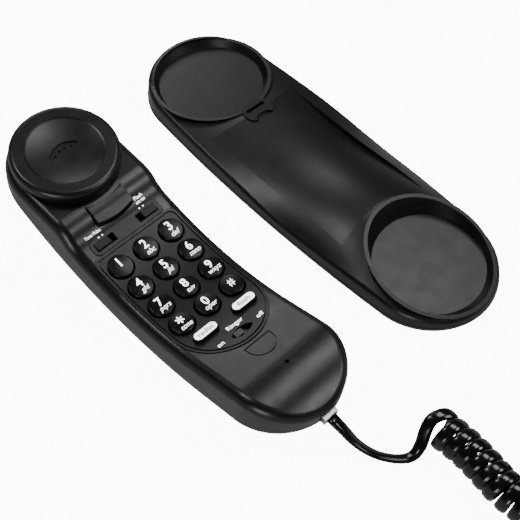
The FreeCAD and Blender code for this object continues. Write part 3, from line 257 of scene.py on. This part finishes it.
def make_materials():
    """Every finish of the phone, by the name that the tables below use."""
    made = {
        "base": moulded("base_satin_black", (0.0055, 0.0052, 0.0055), (0.008, 0.0075, 0.008),
                        0.33, 0.39, 2600, 0.006, level=0.42),
        "plate": moulded("plate_satin_grey", (0.03, 0.03, 0.031), (0.042, 0.041, 0.042),
                         0.42, 0.52, 2600, 0.008, level=0.4),
        "handset": moulded("handset_satin_black", (0.005, 0.0047, 0.005), (0.0075, 0.007, 0.0073),
                           0.29, 0.35, 2600, 0.006, level=0.42),
        "bezel": moulded("bezel_satin_black", grey(0.007), grey(0.010),
                         0.34, 0.40, 2400, 0.007, level=0.33),
        "key": moulded("key_black", grey(0.003), grey(0.005), 0.24, 0.32, 2200, 0.006, level=0.22),
        "paddle": moulded("paddle_black", grey(0.008), grey(0.011),
                          0.34, 0.42, 2400, 0.006, level=0.4),
        # The white legends: the print's own white, plus a painted glow (emission 3.0) that brightens them as if
        # lit
        "white": moulded("legend_white_painted_glow", grey(0.78), grey(0.88), 0.40, 0.55, 3000, 0.004,
                         level=0.3, painted_glow=3.0),
        "ink": moulded("legend_ink", grey(0.05), grey(0.08), 0.40, 0.55, 3000, 0.004, level=0.3),
        "rubber": moulded("foot_rubber", grey(0.012), grey(0.022), 0.62, 0.8, 1500, 0.02, level=0.3),
        "grey_rubber": moulded("silicone_grey", grey(0.16), grey(0.22),
                               0.5, 0.62, 1500, 0.01, level=0.4),
        "inner": moulded("inner_black", grey(0.012), grey(0.02), 0.4, 0.5, 2000, 0.006),
        "board": moulded("board_green", (0.008, 0.05, 0.02), (0.014, 0.08, 0.03),
                         0.25, 0.35, 1800, 0.006, coat=0.4),
        "steel": metal("zinc_steel", (0.42, 0.42, 0.43), (0.62, 0.62, 0.63), 0.25, 0.42),
        "dark_metal": metal("dark_steel", (0.18, 0.18, 0.19), (0.26, 0.26, 0.27), 0.3, 0.45),
        "brass": metal("contact_brass", (0.62, 0.44, 0.16), (0.82, 0.62, 0.26), 0.18, 0.3),
        "felt": moulded("speaker_felt_black", grey(0.01), grey(0.03), 0.85, 0.95, 900, 0.06, level=0.1),
        "cord": moulded("cord_vinyl_black", grey(0.003), grey(0.006), 0.10, 0.20, 900, 0.01),
    }
    clear = Recipe("clear_polycarbonate")
    clear.set(Transmission_Weight=0.6, IOR=1.45, Specular_IOR_Level=0.7)
    clear.colour(clear.noise(220, 3), (0.10, 0.10, 0.10), (0.30, 0.31, 0.31))
    clear.rough(clear.noise(300, 4), 0.06, 0.16)
    clear.bump(clear.noise(700, 3), 0.02 * MM)
    made["clear"] = clear.material
    return made


# The finish of each material slot of the CAD record.
SLOT_FINISH = {
    "base_plastic": "base",
    "plate_plastic": "plate",
    "handset_plastic": "handset",
    "bezel_plastic": "bezel",
    "key_plastic": "key",
    "white_plastic": "white",
    "steel": "steel",
    "black_rubber": "rubber",
    "grey_rubber": "grey_rubber",
    "board_green": "board",
    "inner_plastic": "inner",
    "dark_metal": "dark_metal",
    "felt": "felt",
    "brass": "brass",
    "clear_plastic": "clear",
    "cord_vinyl": "cord",
}


def dress_cad_nodes(finishes):
    """Each CAD piece gets the finish of its material slot; the paddle and the knobs have their own."""
    slot_of = {part["node"]: part["material_slot"] for part in frame["record"]["subparts"]}
    for name, node in nodes.items():
        finish = finishes[SLOT_FINISH[slot_of[name]]]
        if name == "hook_paddle" or name.endswith("_knob"):
            finish = finishes["paddle"]
        for material_slot in node.material_slots:
            material_slot.material = finish
        for polygon in node.data.polygons:
            polygon.use_smooth = True


# ---------------------------------------------------------------- helpers for meshes


def new_piece(name, mesh, material):
    """An object of a mesh, with one finish."""
    mesh.materials.append(material)
    piece = bpy.data.objects.new(name, mesh)
    bpy.context.scene.collection.objects.link(piece)
    return piece


def surface_of(node):
    """A tree for finding points on a CAD piece's surface."""
    mesh = nodes[node].data
    return BVHTree.FromPolygons([vertex.co for vertex in mesh.vertices],
                                [tuple(polygon.vertices) for polygon in mesh.polygons])


def evaluated_mesh(thing):
    """The mesh that a text or curve object makes."""
    bpy.context.scene.collection.objects.link(thing)
    bpy.context.view_layer.update()
    evaluated = thing.evaluated_get(bpy.context.evaluated_depsgraph_get())
    mesh = bpy.data.meshes.new_from_object(evaluated)
    bpy.data.objects.remove(thing)
    return mesh


# ---------------------------------------------------------------- printed legends


# A capital's height in the typeface, as a share of its size, and the longest edge of a printed sign.
FONT_CAPITAL = 0.73
LONGEST_EDGE = 0.7 * MM
# The printed film stands this far over the surface and reaches this far into it.
FILM_TOP, FILM_FOOT = 0.06 * MM, -0.05 * MM
# Each sign is laid on its piece from this far above.
DROP = 9 * MM


def refine(shape):
    """Cut the flat sides' long edges, so that the sign can follow a bent surface."""
    bmesh.ops.triangulate(shape, faces=shape.faces)
    for _ in range(3):
        long_edges = [edge for edge in shape.edges if edge.calc_length() > LONGEST_EDGE
                      and abs(edge.verts[0].co.z - edge.verts[1].co.z) < 0.5]
        if not long_edges:
            break
        bmesh.ops.subdivide_edges(shape, edges=long_edges, cuts=1)
        bmesh.ops.triangulate(shape, faces=shape.faces)


def glyphs(text, height, weight, slant, squeeze):
    """A word as a flat mesh one unit thick in its own plane, centred.

    The height is a capital's, or the single sign's.
    """
    data = bpy.data.curves.new("word", "FONT")
    data.body = text
    data.size = 1.0
    data.offset = weight
    data.shear = slant
    data.extrude = 0.5
    data.resolution_u = 6
    shape = bmesh.new()
    shape.from_mesh(evaluated_mesh(bpy.data.objects.new("word", data)))
    low = Vector([min(vertex.co[axis] for vertex in shape.verts) for axis in range(3)])
    high = Vector([max(vertex.co[axis] for vertex in shape.verts) for axis in range(3)])
    scale = height / (high.y - low.y if len(text) == 1 else FONT_CAPITAL)
    centre = middle(low, high)
    bmesh.ops.translate(shape, vec=(-centre.x, -centre.y, 0), verts=shape.verts)
    bmesh.ops.scale(shape, vec=(scale * squeeze, scale, 1), verts=shape.verts)
    refine(shape)
    return shape


def print_words(name, words, node, out, finish, body):
    """Words laid on a CAD piece as a thin raised film.

    Each word is its text, middle, height in millimetres, weight, slant and squeeze.
    """
    surface = surface_of(node)
    whole = bmesh.new()
    for text, place, height, weight, slant, squeeze in words:
        shape = glyphs(text, height * MM, weight, slant, squeeze)
        normal = surface.ray_cast(place + out * DROP, -out)[1]
        right = (HANDSET_ACROSS - normal * HANDSET_ACROSS.dot(normal)).normalized()
        up = normal.cross(right)
        for vertex in shape.verts:
            above = place + right * vertex.co.x + up * vertex.co.y + normal * DROP
            hit = surface.ray_cast(above, -normal)[0] or surface.find_nearest(above)[0]
            vertex.co = hit + normal * (FILM_TOP if vertex.co.z > 0 else FILM_FOOT)
        mesh = bpy.data.meshes.new("word")
        shape.to_mesh(mesh)
        shape.free()
        whole.from_mesh(mesh)
        bpy.data.meshes.remove(mesh)
    mesh = bpy.data.meshes.new(name)
    whole.to_mesh(mesh)
    whole.free()
    piece = new_piece(name, mesh, finish)
    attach(piece, body)


# Each round key's digit or sign, and the letters under it.
KEY_LEGENDS = {
    "key_1": ("1", ""), "key_2": ("2", "abc"), "key_3": ("3", "def"), "key_4": ("4", "ghi"),
    "key_5": ("5", "jkl"), "key_6": ("6", "mno"), "key_7": ("7", "pqrs"), "key_8": ("8", "tuv"),
    "key_9": ("9", "wxyz"), "key_star": ("*", "tone"), "key_0": ("0", "oper"), "key_hash": ("#", ""),
}


def print_key_legends(finishes):
    """White digits with small slanted letters under them, and dark words on the white inserts."""
    letters_down, letters_right = 2.6 * MM, 0.4 * MM
    for node, (digit, letters) in KEY_LEGENDS.items():
        centre, out = middle(*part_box(node)), -joint_axis(f"{node}_press")
        up = out.cross(HANDSET_ACROSS)
        height = {"#": 4.2, "*": 4.4}.get(digit, 4.7)
        rise = 0.6 * MM if digit == "#" else 1.5 * MM
        weight = {"#": -0.006, "*": 0.006}.get(digit, 0.016)
        words = [(digit, centre + up * rise, height, weight, 0.0, 0.92)]
        if letters:
            place = centre - up * letters_down + HANDSET_ACROSS * letters_right
            words.append((letters, place, 2.6, -0.004, 0.3, 0.95))
        # The white digits and letters carry the legend finish's painted glow as well as its white print colour
        print_words(f"legend_{node}", words, node, out, finishes["white"], node)
    for key, word in (("redial_key", "redial"), ("flash_key", "flash")):
        insert = f"{key}_insert"
        words = [(word, middle(*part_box(insert)), 2.6, 0.016, 0.0, 1.1)]
        print_words(f"legend_{key}", words, insert, -joint_axis(f"{key}_press"), finishes["ink"], key)


def print_face_labels(finishes):
    """The words by the slide switches, set out in the handset's own frame from the ear cap's middle."""
    cap = [vertex.co for vertex in nodes["ear_cap"].data.vertices]
    along = HANDSET_ACROSS.cross(HANDSET_OUT)
    corner = Vector()
    for axis, pick in ((along, middle), (HANDSET_ACROSS, middle), (HANDSET_OUT, max)):
        reach = [point.dot(axis) for point in cap]
        corner += axis * pick(min(reach), max(reach))

    def spot(x, y):
        """A place 10 mm under the cap's rim, x along the handset and y across it, in millimetres."""
        return corner + (along * x + HANDSET_ACROSS * y - HANDSET_OUT * 10) * MM

    labels = {
        "labels_face": ("handset_face_shell", [
            ("Tone Pulse", spot(37.3, -14.6), 1.5, 0.0, 0.0, 0.95),
            ("Flash", spot(35.5, 13.6), 1.7, 0.0, 0.0, 1.05),
            ("600 300", spot(37.5, 13.6), 1.1, 0.0, 0.0, 1.05),
        ]),
        "labels_strip": ("switch_strip", [
            (".", spot(39.5, y), 0.7, 0.02, 0.0, 1.0) for y in (-13.2, -11.1, 10.8, 12.9)
        ]),
        "labels_bezel": ("keypad_bezel", [
            ("Ringer", spot(112.8, 0.5), 2.3, 0.0, 0.0, 1.1),
            ("on", spot(117.2, -11.3), 2.3, 0.0, 0.0, 1.1),
            ("off", spot(117.4, 11.3), 2.3, 0.0, 0.0, 1.1),
        ]),
    }
    for name, (node, words) in labels.items():
        # The white labels carry the legend finish's painted glow as well as its white print colour
        print_words(name, words, node, HANDSET_OUT, finishes["white"], "handset")


# ---------------------------------------------------------------- cord

# The cord's control points, as in the CAD routes, in millimetres: the loose end out of the plug, the
# middle line of the curly part, and the plain end with the line plug.
TAIL_ROUTE = [
    (-47.62, -108.85, 16.84), (-46.3, -114.5, 13.4), (-44.5, -121.0, 7.4), (-40.8, -128.6, 3.4),
    (-35.5, -135.8, 2.7), (-29.9, -140.0, 3.2), (-24.3, -139.2, 5.8), (-20.7, -137.2, 10.0),
    (-16.5, -136.0, 14.2), (-11.5, -137.4, 14.8),
]
# How far the flat cord is turned about its own line at each of those points, in degrees.
TAIL_TILTS = (0, 20, 35, 35, 30, 20, 10, 5, 0, 0)
# The curly part runs down into a ring of straight runs round this middle.
RING_X, RING_Y, RING_RADIUS = 25.3, -211.7, 34.0
RING_TURN = math.radians(45)
RING_START = math.radians(202.5)
RING_CORNER = RING_RADIUS / math.cos(RING_TURN / 2)
CURL_HEIGHT = 9.1
CURL_ROUTE = [
    (-14.3, -135.5, CURL_HEIGHT), (-13.1, -148.0, CURL_HEIGHT), (-13.0, -158.0, CURL_HEIGHT),
    (-14.1, -168.0, CURL_HEIGHT), (-15.7, -180.7, CURL_HEIGHT),
]
for corner_number in range(6):
    turn = RING_START + RING_TURN * corner_number
    CURL_ROUTE.append((RING_X + RING_CORNER * math.cos(turn), RING_Y + RING_CORNER * math.sin(turn),
                       CURL_HEIGHT))
CURL_ROUTE.append((RING_X - 2.0, RING_Y + RING_RADIUS, CURL_HEIGHT))
LEAD_ROUTE = [
    (RING_X - 13.0, RING_Y + 32.0, 5.2), (RING_X - 21.0, RING_Y + 23.5, 2.9),
    (RING_X - 21.5, RING_Y + 10.5, 3.0), (RING_X - 12.0, RING_Y + 0.5, 3.0),
]
LEAD_TILTS = (0, 0, 0, 0)
CORD_WIDTH, CORD_THICKNESS = 5.7, 3.1


def spline_line(points, steps):
    """The line of a smooth curve through control points, as evenly numbered points."""
    data = bpy.data.curves.new("route", "CURVE")
    data.dimensions = "3D"
    data.resolution_u = steps
    spline = data.splines.new("NURBS")
    spline.points.add(len(points) - 1)
    for control, point in zip(spline.points, points):
        control.co = (*point, 1)
    spline.use_endpoint_u = True
    spline.order_u = 3
    mesh = evaluated_mesh(bpy.data.objects.new("route", data))
    line = [vertex.co.copy() for vertex in mesh.vertices]
    bpy.data.meshes.remove(mesh)
    return line


def spaced(line, step):
    """Points along a line at an even distance, with the direction there."""
    places, over = [], 0.0
    for start, end in zip(line, line[1:]):
        length = (end - start).length
        along = over
        while along < length:
            places.append((start.lerp(end, along / length), (end - start).normalized()))
            along += step
        over = along - length
    return places


def curls():
    """Control points of the helix round the curly part's middle line, each with the width's direction.

    The cord goes over the top to the far side and back under; its first turns are a little larger.
    """
    per_turn, pitch, radius = 12, 6.1, 7.05
    first_radius, settling_turns = 7.4, 0.8
    start_angle = math.radians(150)
    reached, step = 4.9, 0.05
    middle_line = spaced(spline_line(CURL_ROUTE, 24), step)
    points, count = [], 0
    while int(reached / step) < len(middle_line):
        place, ahead = middle_line[int(reached / step)]
        ease = math.exp(-count / per_turn / settling_turns)
        side = UP.cross(ahead).normalized()
        angle = start_angle + 2 * math.pi * count / per_turn
        extra = (first_radius - radius) * ease
        spread = (radius + extra) / math.cos(math.pi / per_turn)
        centre = place + UP * extra
        around = UP * math.sin(angle) - side * math.cos(angle)
        points.append((centre + around * spread, -ahead))
        reached += pitch / per_turn
        count += 1
    return points


def heading(line, number):
    """The direction of a line at one of its points."""
    return (line[min(number + 1, len(line) - 1)] - line[max(number - 1, 0)]).normalized()


def lying(route, tilts):
    """Points of a free stretch of cord, each with the direction of its width, tilted from flat."""
    points = [Vector(point) for point in route]
    found = []
    for number, (point, degrees) in enumerate(zip(points, tilts)):
        tilt = math.radians(degrees)
        flat = UP.cross(heading(points, number)).normalized()
        found.append((point, flat * math.cos(tilt) - UP * math.sin(tilt)))
    return found


def rounded(value, power):
    return math.copysign(abs(value) ** power, value)


def flat_section(sides):
    """Outline of the flat cord: round edges and a shallow groove between each of its four wires."""
    groove_depth, wire_pitch, flat_share = 0.16, CORD_WIDTH / 4, 0.42
    outline = []
    for side in range(sides):
        angle = 2 * math.pi * side / sides
        across = rounded(math.cos(angle), 0.85) * CORD_WIDTH / 2
        thick = rounded(math.sin(angle), 0.8) * CORD_THICKNESS / 2
        if abs(across) < CORD_WIDTH * flat_share:
            thick *= 1 - groove_depth * (0.5 - 0.5 * math.cos(2 * math.pi * across / wire_pitch))
        outline.append((across, thick))
    return outline


def cord_rings(controls, line, steps, outline):
    """The section's corners at each point of the line, its width following the controls' directions."""
    memory = 0.4
    width = controls[0][1]
    vertices = []
    for number, place in enumerate(line):
        ahead = heading(line, number)
        before = min(int(number / steps + 0.5), len(controls) - 2)
        share = number / steps + 0.5 - before
        wanted = controls[before][1].lerp(controls[before + 1][1], share)
        width = width * memory + wanted * (1 - memory)
        width = (width - ahead * width.dot(ahead)).normalized()
        thick = ahead.cross(width)
        vertices += [(place + width * across + thick * through) * MM for across, through in outline]
    return vertices


def add_cord(finishes):
    """The whole flat cord as one tube along one line, in place of the CAD cord pieces."""
    steps, sides = 4, 28
    controls = lying(TAIL_ROUTE, TAIL_TILTS) + curls() + lying(LEAD_ROUTE, LEAD_TILTS)
    line = spline_line([point for point, _ in controls], steps)
    vertices = cord_rings(controls, line, steps, flat_section(sides))
    faces = []
    for ring in range(len(line) - 1):
        for side in range(sides):
            here, beside = ring * sides + side, ring * sides + (side + 1) % sides
            faces.append((here, beside, beside + sides, here + sides))
    faces.append(tuple(range(sides))[::-1])
    faces.append(tuple(range((len(line) - 1) * sides, len(line) * sides)))
    mesh = bpy.data.meshes.new("line_cord")
    mesh.from_pydata([tuple(vertex) for vertex in vertices], [], faces)
    for polygon in mesh.polygons:
        polygon.use_smooth = True
    cord = new_piece("line_cord", mesh, finishes["cord"])
    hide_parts("cord_tail", "curly_cord", "cord_lead")
    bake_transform(cord)


def main():
    finishes = make_materials()
    add_camera()
    add_floor()
    add_lights()
    add_surround()
    dress_cad_nodes(finishes)
    print_key_legends(finishes)
    print_face_labels(finishes)
    add_cord(finishes)


main()
